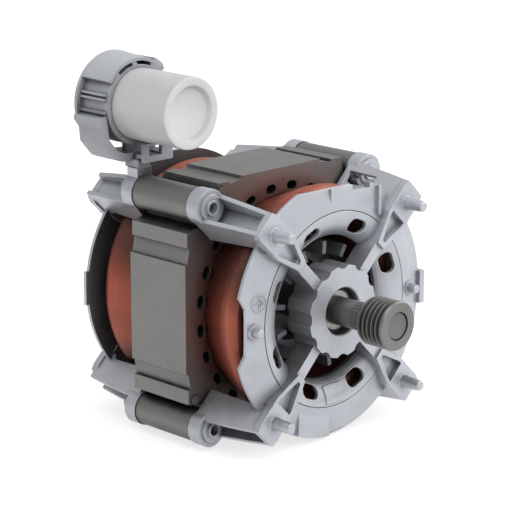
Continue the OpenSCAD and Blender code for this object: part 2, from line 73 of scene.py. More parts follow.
# %% [markdown]
# ## Tools for shader node groups
# A finish is made of effects, such as cast grain or turning marks, that several materials share. Each
# effect is a shader node group with named inputs and outputs, so a material reads like a recipe. A painter
# would call these brushes. Groups hand over only masks, heights, normals and colours; the shader itself
# stays in the material, where its plain numbers can be read and changed.

# %% Node group helpers
def new_group(name, inputs, outputs):
    """A shader node group, from the start values of its inputs and the kinds of its outputs."""
    tree = bpy.data.node_groups.new(name, "ShaderNodeTree")
    for label, value in inputs.items():
        tree.interface.new_socket(label, in_out="INPUT", socket_type="NodeSocketFloat").default_value = value
    for label, kind in outputs.items():
        tree.interface.new_socket(label, in_out="OUTPUT", socket_type="NodeSocket" + kind)
    return tree, tree.nodes.new("NodeGroupInput"), tree.nodes.new("NodeGroupOutput")


def add(tree, kind, inputs=None, **settings):
    """A node with settings. Its inputs, by name or number, take a socket or a plain value."""
    node = tree.nodes.new("ShaderNode" + kind)
    for key, value in settings.items():
        setattr(node, key, value)
    for key, value in (inputs or {}).items():
        if isinstance(value, bpy.types.NodeSocket):
            tree.links.new(value, node.inputs[key])
        else:
            node.inputs[key].default_value = value
    return node


def math_node(tree, operation, a, b=0.0, clamp=False):
    """The result of one sum on sockets or plain numbers."""
    return add(tree, "Math", {0: a, 1: b}, operation=operation, use_clamp=clamp).outputs[0]


def ramp(tree, value, low, high, to_low=0.0, to_high=1.0):
    """A value that runs from to_low to to_high while another runs from low to high, and stops there."""
    return add(tree, "MapRange", {"Value": value, "From Min": low, "From Max": high,
                                  "To Min": to_low, "To Max": to_high}).outputs[0]


def hand_over(tree, end, **outputs):
    """Link what a group has made to its outputs, by name."""
    for label, socket in outputs.items():
        tree.links.new(socket, end.inputs[label])


print("node group helpers ready")

# %% [markdown]
# ## Tools for patterns
# The same few questions come up in every effect: where on the piece is this point, how far from the shaft,
# how open does it lie, and how cloudy is it there. Each has a small function of its own. Places are
# measured in metres on the piece itself, so a grain keeps its size on every piece and turns with the rotor.

# %% Pattern helpers
NOISE_LOW, NOISE_HIGH = 0.3, 0.7


def split(tree, vector):
    """The X, Y and Z parts of a vector, by name."""
    return add(tree, "SeparateXYZ", {0: vector}).outputs


def shaft_distance(tree, xyz):
    """How far the parts of a place lie from the axis of the shaft, which runs along Y."""
    flat = add(tree, "CombineXYZ", {"X": xyz["X"], "Y": xyz["Z"]}).outputs[0]
    return add(tree, "VectorMath", {0: flat}, operation="LENGTH").outputs["Value"]


def openness(tree, reach):
    """Ambient occlusion as a number: 1 in the open, 0 deep in a corner, felt as far as the reach."""
    return add(tree, "AmbientOcclusion", {"Distance": reach}, samples=8).outputs["AO"]


def noise(tree, place, scale, detail, roughness=0.5):
    """Cloudy noise. Nearly all of it lies between NOISE_LOW and NOISE_HIGH."""
    return add(tree, "TexNoise", {"Vector": place, "Scale": scale, "Detail": detail,
                                  "Roughness": roughness}).outputs["Fac"]


def spread(tree, clouds, low=0.0, high=1.0):
    """Cloudy noise stretched from its usual span to another one."""
    return ramp(tree, clouds, NOISE_LOW, NOISE_HIGH, low, high)


def stripe_shade(tree, count):
    """A random number from 0 to 1 for each whole number of a count, the same on every run."""
    whole = math_node(tree, "FLOOR", count)
    return add(tree, "TexWhiteNoise", {"W": whole}, noise_dimensions="1D").outputs["Value"]


def colour_ramp(tree, factor, stops):
    """A colour that runs through stops, which are pairs of a place from 0 to 1 and a colour, in order."""
    node = add(tree, "ValToRGB", {"Fac": factor})
    elements = node.color_ramp.elements
    for place, shade in stops[1:-1]:
        elements.new(place)
    for element, (place, shade) in zip(elements, stops):
        element.position = place
        element.color = (*shade, 1)
    return node.outputs["Color"]


print("pattern helpers ready")

# %% [markdown]
# ## Effect: cast skin
# Pressure die-cast aluminium keeps the skin of the steel die: almost smooth, with a faint orange-peel and
# soft cloudy patches where the metal chilled first. Two noises do it, a fine one for the relief and a broad
# one for the clouds. A photographed texture would need unwrapping and would repeat, and noise in three
# dimensions does neither.

# %% Cast skin
cast_skin, skin_in, skin_out = new_group(
    "Cast skin", {"Grain": 1400.0, "Clouds": 60.0}, {"Height": "Float", "Tone": "Float"})
skin_place = add(cast_skin, "TexCoord").outputs["Object"]
skin_fine = noise(cast_skin, skin_place, skin_in.outputs["Grain"], detail=4.0)
skin_broad = noise(cast_skin, skin_place, skin_in.outputs["Clouds"], detail=5.0, roughness=0.6)
hand_over(cast_skin, skin_out, Height=skin_fine, Tone=spread(cast_skin, skin_broad))
print("cast skin:", len(cast_skin.nodes), "nodes")

# %% [markdown]
# ## Effect: soft edges and lighter edges
# No cast or moulded edge is a perfect corner. A bevel read by the shader rounds the light on every edge by
# a few tenths of a millimetre, without new geometry. Where the rounded normal and the true one disagree
# there is an edge, so the cosine between them, which falls below one there, also serves as the mask for a
# lighter colour on the edges, which is partly wear and partly a painted highlight.

# %% Soft edge
soft_edge, edge_in, edge_out = new_group(
    "Soft edge", {"Radius": 0.4 * MM}, {"Normal": "Vector", "Edge": "Float"})
flat_cosine, edge_cosine = 0.98, 0.72
edge_bevel = add(soft_edge, "Bevel", {"Radius": edge_in.outputs["Radius"]}, samples=6).outputs["Normal"]
edge_true = add(soft_edge, "NewGeometry").outputs["Normal"]
edge_dot = add(soft_edge, "VectorMath", {0: edge_bevel, 1: edge_true}, operation="DOT_PRODUCT")
edge_mask = ramp(soft_edge, edge_dot.outputs["Value"], flat_cosine, edge_cosine)
hand_over(soft_edge, edge_out, Normal=edge_bevel, Edge=edge_mask)
print("soft edge:", len(soft_edge.nodes), "nodes")

# %% [markdown]
# ## Effect: painted shade in the recesses
# Light hardly reaches the corners, so their shade is painted into the colour. Ambient occlusion over a few
# millimetres finds them, and a second one over a short reach paints the fine dark line of shade where two
# faces meet. A little noise breaks up the border, so the painted shade never stops on a clean line.

# %% Painted corner shade
# Painted shade: the colour darkens where ambient occlusion finds a corner or a crease.
corner_shade, recess_in, recess_out = new_group(
    "Painted corner shade", {"Reach": 5 * MM, "Line": 0.8 * MM, "Gain": 1.0}, {"Dirt": "Float"})
line_dark, line_clear = 0.4, 0.85
thin_patch, thick_patch = 0.75, 1.15
recess_wide = openness(corner_shade, recess_in.outputs["Reach"])
recess_line = ramp(corner_shade, openness(corner_shade, recess_in.outputs["Line"]), line_dark, line_clear)
recess_open = math_node(corner_shade, "MULTIPLY", recess_wide, recess_line)
recess_dark = math_node(corner_shade, "SUBTRACT", 1.0, recess_open)
recess_gained = math_node(corner_shade, "MULTIPLY", recess_dark, recess_in.outputs["Gain"])
recess_noise = noise(corner_shade, add(corner_shade, "TexCoord").outputs["Object"], scale=220.0, detail=3.0)
recess_patchy = spread(corner_shade, recess_noise, thin_patch, thick_patch)
hand_over(corner_shade, recess_out, Dirt=math_node(corner_shade, "MULTIPLY", recess_gained, recess_patchy, clamp=True))
print("painted corner shade:", len(corner_shade.nodes), "nodes")

# %% [markdown]
# ## Effect: laminations
# The stack is about seventy punched steel sheets pressed together. On its outside that shows as hair-fine
# lines square to the shaft, with each sheet a touch lighter or darker than the next. The position along the
# shaft is divided by the sheet thickness: the fraction gives the groove, the whole number seeds the sheet's
# shade.

# %% Laminations
laminations, lam_in, lam_out = new_group(
    "Laminations", {"Sheet": 0.5 * MM}, {"Height": "Float", "Shade": "Float"})
groove_share = 0.14
lam_along = split(laminations, add(laminations, "TexCoord").outputs["Object"])["Y"]
lam_count = math_node(laminations, "DIVIDE", lam_along, lam_in.outputs["Sheet"])
lam_groove = ramp(laminations, math_node(laminations, "PINGPONG", lam_count, 0.5), 0.0, groove_share)
hand_over(laminations, lam_out, Height=lam_groove, Shade=stripe_shade(laminations, lam_count))
print("laminations:", len(laminations.nodes), "nodes")

# %% [markdown]
# ## Effect: painted copper reflection on the sheet faces
# The red of the winding is painted onto the sheets as a reflection of the copper. The punched edges stay
# grey, and the flat faces take it, reddest beside the copper. The mask is the part of the normal that points
# along the shaft, and the colour fades with the distance from the shaft, since the winding lies inside and
# the bare corners outside. The rotor turns inside the bore and gets none of it, so the mask stops there.

# %% Painted copper reflection
# Painted reflection: the red of the copper laid on the sheet faces near the winding.
copper_reflection, var_in, var_out = new_group(
    "Painted copper reflection", {"Near": 44 * MM, "Far": 57 * MM}, {"Mask": "Float", "Colour": "Color"})
rotor_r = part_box("rotor_core")[1].x
bore_from, bore_full = rotor_r + 0.1 * MM, rotor_r + 0.3 * MM
face_from, face_full = 0.75, 0.95
fade_wander = 2.5 * MM
var_coords = add(copper_reflection, "TexCoord").outputs
var_along = math_node(copper_reflection, "ABSOLUTE", split(copper_reflection, var_coords["Normal"])["Y"])
var_face = ramp(copper_reflection, var_along, face_from, face_full)
var_radius = shaft_distance(copper_reflection, split(copper_reflection, var_coords["Object"]))
var_shift = spread(copper_reflection, noise(copper_reflection, var_coords["Object"], scale=130.0, detail=4.0), -fade_wander, fade_wander)
var_fade = ramp(copper_reflection, math_node(copper_reflection, "ADD", var_radius, var_shift),
                var_in.outputs["Near"], var_in.outputs["Far"])
var_colour = colour_ramp(copper_reflection, var_fade, [
    (0.0, (0.36, 0.125, 0.095)), (0.45, (0.24, 0.152, 0.137)), (1.0, (0.198, 0.168, 0.162))])
var_stator = ramp(copper_reflection, var_radius, bore_from, bore_full)
hand_over(copper_reflection, var_out, Mask=math_node(copper_reflection, "MULTIPLY", var_face, var_stator), Colour=var_colour)
print("painted copper reflection:", len(copper_reflection.nodes), "nodes")

# %% [markdown]
# ## Effect: painted shade on the inner faces
# The castings are bright outside and almost black inside, where little light enters, and that shade is
# painted into their colour. A face belongs to the inside when it looks towards the middle of the stack, so
# the mask is the part of its normal along the shaft, turned round behind the middle. A wide ambient
# occlusion keeps it off open ledges. Walls that run along the shaft, such as those of the air holes, get a
# share of the same painted shade when they lie close in.

# %% Painted inner shade
# Painted shade: a dark colour on faces that look into the motor.
stack_low, stack_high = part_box("stator_core")
stack_middle = (stack_low.y + stack_high.y) / 2
inner_shade, inn_in, inn_out = new_group(
    "Painted inner shade", {"Middle": stack_middle, "Reach": 35 * MM}, {"Mask": "Float", "Colour": "Color"})
towards_from, towards_full = 0.15, 0.6
ledge_open, ledge_closed = 0.8, 0.35
wall_from, wall_full = 0.5, 0.2
air_hole_r, air_hole_fade, air_hole_share = 34 * MM, 5 * MM, 0.5
inn_coords = add(inner_shade, "TexCoord").outputs
inn_xyz = split(inner_shade, inn_coords["Object"])
inn_normal = split(inner_shade, inn_coords["Normal"])["Y"]
inn_ahead = math_node(inner_shade, "SUBTRACT", inn_in.outputs["Middle"], inn_xyz["Y"])
inn_side = math_node(inner_shade, "SIGN", inn_ahead)
inn_towards = ramp(inner_shade, math_node(inner_shade, "MULTIPLY", inn_side, inn_normal),
                   towards_from, towards_full)
inn_closed = ramp(inner_shade, openness(inner_shade, inn_in.outputs["Reach"]), ledge_open, ledge_closed)
inn_inside = math_node(inner_shade, "MULTIPLY", inn_towards, inn_closed)
inn_wall = ramp(inner_shade, math_node(inner_shade, "ABSOLUTE", inn_normal), wall_from, wall_full)
inn_near = ramp(inner_shade, shaft_distance(inner_shade, inn_xyz), air_hole_r, air_hole_r - air_hole_fade,
                0.0, air_hole_share)
inn_hole_shade = math_node(inner_shade, "MULTIPLY", inn_wall, inn_near)
inn_mask = math_node(inner_shade, "MAXIMUM", inn_inside, inn_hole_shade, clamp=True)
inn_colour = colour_ramp(inner_shade, noise(inner_shade, inn_coords["Object"], scale=90.0, detail=4.0), [
    (0.0, (0.07, 0.06, 0.058)), (1.0, (0.15, 0.135, 0.13))])
hand_over(inner_shade, inn_out, Mask=inn_mask, Colour=inn_colour)
print("inner faces:", len(inner_shade.nodes), "nodes")

# %% [markdown]
# ## Effect: darker upward faces
# Faces that look up are darkened. On the castings that is painted shade, low down at the drive end, on
# ledges with something over them that keeps the light off, and on the white can it greys the top. The mask
# is the upward part of the normal, and the share of it that open places keep is an input.

# %% Upward darkening
# On the castings this is painted shade on covered ledges; on the can it greys the faces that look up.
upward_darkening, set_in, set_out = new_group(
    "Upward darkening", {"Reach": 30 * MM, "Open share": 0.0}, {"Mask": "Float", "Colour": "Color"})
lies_from, lies_full = 0.1, 0.75
cover_from, cover_full = 0.98, 0.7
darken_top, darken_full = 10 * MM, -10 * MM
drive_end_from, drive_end_full = 75 * MM, 50 * MM
darken_light, darken_heavy = 0.75, 1.0
set_coords = add(upward_darkening, "TexCoord").outputs
set_xyz = split(upward_darkening, set_coords["Object"])
set_up = ramp(upward_darkening, split(upward_darkening, set_coords["Normal"])["Z"], lies_from, lies_full)
set_under = ramp(upward_darkening, openness(upward_darkening, set_in.outputs["Reach"]), cover_from, cover_full)
set_low = ramp(upward_darkening, set_xyz["Z"], darken_top, darken_full)
set_drive_end = ramp(upward_darkening, set_xyz["Y"], drive_end_from, drive_end_full)
set_region = math_node(upward_darkening, "MULTIPLY", set_low, set_drive_end)
set_ledge = math_node(upward_darkening, "MULTIPLY", set_under, set_region)
set_share = math_node(upward_darkening, "MAXIMUM", set_ledge, set_in.outputs["Open share"])
set_even = math_node(upward_darkening, "MULTIPLY", set_up, set_share)
set_noise = noise(upward_darkening, set_coords["Object"], scale=150.0, detail=5.0)
set_patchy = spread(upward_darkening, set_noise, darken_light, darken_heavy)
set_mask = math_node(upward_darkening, "MULTIPLY", set_even, set_patchy, clamp=True)
set_colour = colour_ramp(upward_darkening, set_noise, [(0.0, (0.11, 0.11, 0.115)), (1.0, (0.16, 0.16, 0.165))])
hand_over(upward_darkening, set_out, Mask=set_mask, Colour=set_colour)
print("upward darkening:", len(upward_darkening.nodes), "nodes")

# %% [markdown]
# ## Effect: wound wire
# The end turns are hundreds of enamelled wires, each well under a millimetre thick, laid round the shaft
# and pressed into a bell. Modelling every wire would cost millions of faces. Bands that follow the distance
# from the shaft, pushed a little out of line by noise along the circle, read as strands. Varnish fills the
# gaps, so the relief is shallow.

# %% Wound wire
strands, str_in, str_out = new_group(
    "Wound wire", {"Wire": 0.75 * MM, "Wander": 1.6}, {"Height": "Float", "Shade": "Float"})
along_rate, gap_share = 60.0, 0.3
str_xyz = split(strands, add(strands, "TexCoord").outputs["Object"])
str_angle = math_node(strands, "ARCTAN2", str_xyz["Z"], str_xyz["X"])
str_circle = add(strands, "CombineXYZ", {
    "X": math_node(strands, "SINE", str_angle), "Y": math_node(strands, "COSINE", str_angle),
    "Z": math_node(strands, "MULTIPLY", str_xyz["Y"], along_rate)}).outputs[0]
str_wander = math_node(strands, "MULTIPLY", noise(strands, str_circle, scale=1.5, detail=2.0),
                       str_in.outputs["Wander"])
str_reach = math_node(strands, "ADD", shaft_distance(strands, str_xyz), str_xyz["Y"])
str_even = math_node(strands, "DIVIDE", str_reach, str_in.outputs["Wire"])
str_lane = math_node(strands, "ADD", str_even, str_wander)
str_wave = ramp(strands, math_node(strands, "PINGPONG", str_lane, 0.5), 0.0, gap_share)
hand_over(strands, str_out, Height=str_wave, Shade=stripe_shade(strands, str_lane))
print("wound wire:", len(strands.nodes), "nodes")

# %% [markdown]
# ## Effect: painted arm shadows
# The shadows that the four arms cast on the end turns are painted into the copper, so the wires are darkest
# and brownest on the diagonals, under the arms, and the copper red is purest halfway between. The cosine
# of four times the angle round the shaft has its low points just on the diagonals, and noise frays the
# border. The whole pattern sits a few millimetres lower, below the arms. Inside the bell of wires, towards
# the rotor, painted shade makes the copper brown all round.

# %% Varnish pools
arm_shadows, shadow_in, shadow_out = new_group(
    # Painted shadow: dark brown on the copper under each arm and inside the bell.
    "Painted arm shadows", {"Depth": 0.85, "Drop below": 7 * MM}, {"Mask": "Float", "Colour": "Color"})
arms, fray, border = 4.0, 0.35, 0.6
bell_from, bell_full = 42 * MM, 37 * MM
shadow_place = add(arm_shadows, "TexCoord").outputs["Object"]
shadow_xyz = split(arm_shadows, shadow_place)
shadow_height = math_node(arm_shadows, "ADD", shadow_xyz["Z"], shadow_in.outputs["Drop below"])
shadow_angle = math_node(arm_shadows, "ARCTAN2", shadow_height, shadow_xyz["X"])
shadow_wave = math_node(arm_shadows, "COSINE", math_node(arm_shadows, "MULTIPLY", shadow_angle, arms))
shadow_noise = noise(arm_shadows, shadow_place, scale=45.0, detail=3.0)
shadow_frayed = math_node(arm_shadows, "ADD", shadow_wave, spread(arm_shadows, shadow_noise, -fray, fray))
shadow_near_arm = ramp(arm_shadows, shadow_frayed, border, -border)
shadow_inside = ramp(arm_shadows, shaft_distance(arm_shadows, shadow_xyz), bell_from, bell_full)
shadow_where = math_node(arm_shadows, "MAXIMUM", shadow_near_arm, shadow_inside)
shadow_mask = math_node(arm_shadows, "MULTIPLY", shadow_where, shadow_in.outputs["Depth"])
shadow_colour = colour_ramp(arm_shadows, shadow_noise, [(0.0, (0.095, 0.036, 0.027)), (1.0, (0.17, 0.055, 0.038))])
hand_over(arm_shadows, shadow_out, Mask=shadow_mask, Colour=shadow_colour)
print("painted arm shadows:", len(arm_shadows.nodes), "nodes")

# %% [markdown]
# ## Effect: turning marks
# The shaft and the pulley come off a lathe, which leaves rings finer than the eye can count. The distance
# from the shaft plus the place along it, multiplied up and passed through a noise of one dimension, gives
# rings of uneven depth that follow the surface whether it is a face or a barrel.

# %% Turning marks
turned, turn_in, turn_out = new_group("Turning marks", {"Pitch": 0.12 * MM}, {"Height": "Float"})
turn_xyz = split(turned, add(turned, "TexCoord").outputs["Object"])
turn_reach = math_node(turned, "ADD", shaft_distance(turned, turn_xyz), turn_xyz["Y"])
turn_count = math_node(turned, "DIVIDE", turn_reach, turn_in.outputs["Pitch"])
turn_rings = add(turned, "TexNoise", {"W": turn_count, "Scale": 1.0, "Detail": 2.0}, noise_dimensions="1D")
hand_over(turned, turn_out, Height=turn_rings.outputs["Fac"])
print("turning marks:", len(turned.nodes), "nodes")

# %% [markdown]
# ## Building a material
# Every finish here follows one pattern: a clean colour and a second one that it drifts to, then the effects
# that lie over it, such as painted shade and a painted copper reflection, a dark colour painted as shade in
# the recesses, a lighter colour for the edges that is partly wear and partly a painted highlight, and a
# relief. One function lays that pattern out, so that the materials differ only in their numbers and
# effects, and none is a flat colour. A grey is written as its brightness and a tint, cool for the castings
# and warm for the steel.

# %% Material helpers
def use(tree, group, values=None):
    """A shared effect placed in a material, with this material's own values."""
    return add(tree, "Group", values, node_tree=group).outputs


def blend_colours(tree, factor, first, second):
    """A mix of two colours. The sockets are found by identifier, since others have the same name."""
    node = add(tree, "Mix", {"Factor": factor}, data_type="RGBA")
    for identifier, value in (("A_Color", first), ("B_Color", second)):
        socket = next(s for s in node.inputs if s.identifier == identifier)
        if isinstance(value, bpy.types.NodeSocket):
            tree.links.new(value, socket)
        else:
            socket.default_value = (*value, 1.0)
    return next(s for s in node.outputs if s.identifier == "Result_Color")


def bump(tree, height, depth, normal):
    """A normal with a relief of so many metres on it."""
    return add(tree, "Bump", {"Strength": 1.0, "Distance": depth, "Height": height,
                              "Normal": normal}).outputs["Normal"]


def grey(value, tint=(1.0, 1.0, 1.0)):
    """A grey of one brightness, with a tint."""
    return tuple(value * t for t in tint)


COOL = (0.95, 0.982, 1.055)
WARM = (1.01, 1.0, 0.97)
print("material helpers ready")

# %% [markdown]
# ## The order of the layers
# The colours go on in layers. First the metal or plastic itself, then the painted copper reflection, the
# painted shadows and the darker upward faces, then the painted shade in the corners, and last the lighter
# colour of the edges, part wear and part painted highlight, which cuts through all of them. The relief goes
# on over the rounded normal of the edges, the fine grain first and then the large form.

# %% Material builder
def finish(name, clean, drift, shade_colour, wear_and_highlight, metallic, roughness, rough_span=0.12, coat=0.0, grain=1400.0,
           grain_depth=0.012 * MM, relief=None, relief_depth=0.0, tone=None, over=(), reach=5 * MM, gain=1.0,
           shade_amount=0.8, edge=0.35 * MM, wear_and_highlight_share=0.35):
    """A material from the shared pattern.

    relief is the group of its large relief, tone a third colour in clouds, and over holds the groups that lie
    on top, each with this material's values.
    """
    cloud_share, coat_rough = 0.6, 0.25
    material = bpy.data.materials.new(name)
    material.use_nodes = True
    tree = material.node_tree
    shader = tree.nodes["Principled BSDF"].inputs
    skin = use(tree, cast_skin, {"Grain": grain})
    soft = use(tree, soft_edge, {"Radius": edge})
    corners = use(tree, corner_shade, {"Reach": reach, "Gain": gain})["Dirt"]
    large = use(tree, relief) if relief else {}

    colour = blend_colours(tree, large["Shade"] if "Shade" in large else skin["Tone"], clean, drift)
    if tone:
        colour = blend_colours(tree, math_node(tree, "MULTIPLY", skin["Tone"], cloud_share), colour, tone)
    # The groups in over paint reflection and shade onto whole faces.
    for group, values in over:
        layer = use(tree, group, values)
        colour = blend_colours(tree, layer["Mask"], colour, layer["Colour"])
    # Painted shade in the corners, in the shade colour.
    colour = blend_colours(tree, math_node(tree, "MULTIPLY", corners, shade_amount), colour, shade_colour)
    # Lighter edges: partly wear, partly a painted highlight.
    colour = blend_colours(tree, math_node(tree, "MULTIPLY", soft["Edge"], wear_and_highlight_share), colour, wear_and_highlight)
    rough = ramp(tree, skin["Tone"], 0.0, 1.0, roughness - rough_span / 2, roughness + rough_span / 2)
    normal = bump(tree, skin["Height"], grain_depth, soft["Normal"])
    if relief:
        normal = bump(tree, large["Height"], relief_depth, normal)

    tree.links.new(colour, shader["Base Color"])
    tree.links.new(rough, shader["Roughness"])
    tree.links.new(normal, shader["Normal"])
    shader["Metallic"].default_value = metallic
    shader["Coat Weight"].default_value = coat
    shader["Coat Roughness"].default_value = coat_rough
    return material


finishes = {}
print("material builder ready")

# %% [markdown]
# ## Finish: die-cast shields
# The two shields are the brightest metal here, a cool light grey with a satin skin. Fully metallic, they
# would mirror the dark surroundings like chrome, while a casting scatters much of the light in its oxide
# skin, so the metallic value stays at one half. Painted shade on covered ledges and on the inner faces
# lies over them.

# %% Die-cast shields
finishes["shield_alloy"] = finish(
    "die cast alloy", clean=grey(0.60, COOL), drift=grey(0.53, COOL), shade_colour=grey(0.07, COOL),
    wear_and_highlight=grey(0.88, COOL), metallic=0.5, roughness=0.40, rough_span=0.16, grain=1100.0, grain_depth=0.04 * MM,
    over=((upward_darkening, {}), (inner_shade, {})), reach=3 * MM, shade_amount=0.85, edge=0.4 * MM, wear_and_highlight_share=0.7)
print("castings: 1")

# %% [markdown]
# ## Finish: stack and winding
# The punched sheets carry a clear lacquer that dries a warm dark grey, and the red of the copper is painted
# on their faces as a reflection. The wires are a deep copper red under a thin clear coat, with painted shade
# that makes them nearly black where they dive under the shield, so it reaches far. The rivets that hold the
# stack went through the varnish bath with it and are stained brown.

# %% Stack and winding
finishes["lamination_steel"] = finish(
    "lacquered laminations", clean=grey(0.238, WARM), drift=grey(0.228, WARM), shade_colour=grey(0.012, WARM),
    wear_and_highlight=grey(0.31, WARM), metallic=0.55, roughness=0.42, relief=laminations, relief_depth=0.018 * MM,
    tone=grey(0.215, WARM), over=((copper_reflection, {}),), reach=9 * MM, gain=1.35, shade_amount=0.95, edge=0.25 * MM)
finishes["copper_wire"] = finish(
    "enamelled copper wire", clean=(0.45, 0.100, 0.053), drift=(0.42, 0.092, 0.049), shade_colour=(0.05, 0.014, 0.01),
    wear_and_highlight=(0.46, 0.14, 0.09), metallic=0.45, roughness=0.40, coat=0.15, relief=strands,
    relief_depth=0.012 * MM, tone=(0.27, 0.058, 0.033), over=((arm_shadows, {}),), reach=20 * MM, shade_amount=1.0,
    edge=0.2 * MM, wear_and_highlight_share=0.1)
rivet_finish = finish(
    "varnished rivet steel", clean=grey(0.2, WARM), drift=(0.19, 0.13, 0.115), shade_colour=grey(0.02),
    wear_and_highlight=grey(0.34, WARM), metallic=0.6, roughness=0.38, edge=0.2 * MM)
print("stator finishes: 3")

# %% [markdown]
# ## Finish: rotor, shaft and pulley
# The cage of the rotor is cast aluminium in a much darker grey than the shields, with a lighter colour on
# the edges of the blades, partly wear and partly a painted highlight. The shaft is ground and the pulley
# turned, both from bare steel that has darkened, and the turning marks give them their rings. The bearing
# races are the only parts here that are truly polished.

# %% Rotor, shaft and pulley
finishes["cage_alloy"] = finish(
    "cast cage alloy", clean=grey(0.21, COOL), drift=grey(0.17, COOL), shade_colour=grey(0.03), wear_and_highlight=grey(0.62),
    metallic=0.5, roughness=0.45, gain=1.2, edge=0.25 * MM, wear_and_highlight_share=0.85)
finishes["shaft_steel"] = finish(
    "ground shaft steel", clean=grey(0.195, WARM), drift=grey(0.15, WARM), shade_colour=grey(0.03),
    wear_and_highlight=grey(0.36, WARM), metallic=0.7, roughness=0.36, relief=turned, relief_depth=0.01 * MM, edge=0.2 * MM)
finishes["pulley_steel"] = finish(
    "turned pulley steel", clean=grey(0.225, WARM), drift=grey(0.185, WARM), shade_colour=grey(0.03),
    wear_and_highlight=grey(0.38, WARM), metallic=0.65, roughness=0.38, relief=turned, relief_depth=0.015 * MM,
    reach=2 * MM, edge=0.2 * MM)
finishes["bearing_steel"] = finish(
    "bearing steel", clean=grey(0.42), drift=grey(0.38), shade_colour=grey(0.05), wear_and_highlight=grey(0.55), metallic=0.85,
    roughness=0.25, relief=turned, relief_depth=0.006 * MM, edge=0.15 * MM)
print("rotor finishes: 4")

# %% [markdown]
# ## Finish: small steel and brass
# Screws and the wave spring are zinc plated against rust, and the ball cages are pressed from brass. They
# hardly show in the picture, so a plain recipe without a relief of its own is enough.

# %% Small steel and brass
finishes["plated_steel"] = finish(
    "zinc plated steel", clean=grey(0.5, WARM), drift=grey(0.44, WARM), shade_colour=grey(0.08), wear_and_highlight=grey(0.65),
    metallic=0.75, roughness=0.34, edge=0.2 * MM)
finishes["cage_brass"] = finish(
    "pressed brass", clean=(0.5, 0.34, 0.12), drift=(0.42, 0.28, 0.1), shade_colour=(0.06, 0.04, 0.02),
    wear_and_highlight=(0.65, 0.48, 0.2), metallic=0.85, roughness=0.3, edge=0.1 * MM)
print("small metal finishes: 2")

# %% [markdown]
# ## Finish: moulded plastic and rubber
# Injection-moulded parts take the spark-eroded grain of their mould, deeper on the holder than on the can.
# The can is white, greyer on its top, and glossy enough for a thin clear coat. The holder is a grey that
# was meant to match the castings, but it is plastic, so it has hardly any metallic glint and a deeper
# painted shade in its corners.

# %% Moulded plastic and rubber
finishes["can_plastic"] = finish(
    "white can plastic", clean=grey(0.77), drift=grey(0.735), shade_colour=grey(0.3), wear_and_highlight=grey(0.84), metallic=0.0,
    roughness=0.34, coat=0.1, grain=900.0, grain_depth=0.006 * MM, over=((upward_darkening, {"Open share": 0.33}),),
    reach=2 * MM, shade_amount=0.5, edge=0.15 * MM, wear_and_highlight_share=0.2)
finishes["holder_plastic"] = finish(
    "grey holder plastic", clean=grey(0.54, COOL), drift=grey(0.49, COOL), shade_colour=grey(0.07, COOL),
    wear_and_highlight=grey(0.66, COOL), metallic=0.1, roughness=0.45, grain=1100.0, grain_depth=0.02 * MM, reach=9 * MM,
    gain=1.4, edge=0.3 * MM, wear_and_highlight_share=0.3)
finishes["black_plastic"] = finish(
    "black moulded plastic", clean=grey(0.03), drift=grey(0.04), shade_colour=grey(0.01), wear_and_highlight=grey(0.08),
    metallic=0.0, roughness=0.5, grain=1100.0, edge=0.2 * MM)
finishes["seal_rubber"] = finish(
    "seal rubber", clean=grey(0.02), drift=grey(0.03), shade_colour=grey(0.005), wear_and_highlight=grey(0.05), metallic=0.0,
    roughness=0.6, edge=0.1 * MM)
print("moulded finishes: 4")

# %% [markdown]
# ## Finish: slot insulation
# Papers line the slots and wedges close them. Both show only as slivers round the bore. The papers are
# painted a dark red-brown as shade in the slot mouths, and the wedges keep the straw colour of pressed board.

# %% Slot insulation
finishes["slot_paper"] = finish(
    "slot paper", clean=(0.24, 0.10, 0.07), drift=(0.18, 0.075, 0.05), shade_colour=(0.04, 0.015, 0.01),
    wear_and_highlight=(0.3, 0.15, 0.1), metallic=0.0, roughness=0.7, edge=0.1 * MM)
finishes["slot_wedge"] = finish(
    "slot wedge", clean=(0.5, 0.4, 0.2), drift=(0.42, 0.33, 0.16), shade_colour=(0.08, 0.06, 0.03),
    wear_and_highlight=(0.6, 0.5, 0.28), metallic=0.0, roughness=0.6, edge=0.1 * MM)
print("insulation finishes: 2")

# %% [markdown]
# ## Putting the finishes on
# The record of the CAD model says which material slot each piece takes, so one loop dresses all of them,
# the hidden ones too. Only the rivets differ from the plated screws of their slot, because of their time in
# the varnish.

# %% Dress the pieces
for part in frame["record"]["subparts"]:
    dressed = nodes[part["node"]].data.materials
    dressed.clear()
    dressed.append(finishes[part["material_slot"]])
nodes["stack_rivets"].data.materials[0] = rivet_finish

# %% [markdown]
# ## Small pieces of our own
# The CAD model carries the shape, and a few details finer than a casting drawing are added from here on as
# meshes of their own, built point by point. This tool makes a piece from points and faces, gives it the
# finish of a slot and fixes it to the housing, so that it stays with the castings when the rotor turns.

# %% Small pieces
def add_piece(name, points, faces, slot_name, smooth=False):
    """A new piece of the housing. A smooth one keeps its sharp corners."""
    sharp_corner = math.radians(32)
    mesh = bpy.data.meshes.new(name)
    mesh.from_pydata(points, [], faces)
    mesh.update()
    made = bpy.data.objects.new(name, mesh)
    bpy.context.collection.objects.link(made)
    mesh.materials.append(finishes[slot_name])
    if smooth:
        mesh.shade_smooth()
        mesh.set_sharp_from_angle(angle=sharp_corner)
    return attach(made, "housing")


print("piece tool ready")

# %% [markdown]
# ## Raised lines on the casting
# Signs on a casting are raised lines of even width. They could be a bump in the material, but a real mesh
# catches the light and keeps its outline from close by. The tool lays one along a path on the cone of the
# front ring: a flat top between two flanks that slope down and end just below the skin, so that no gap
# shows.

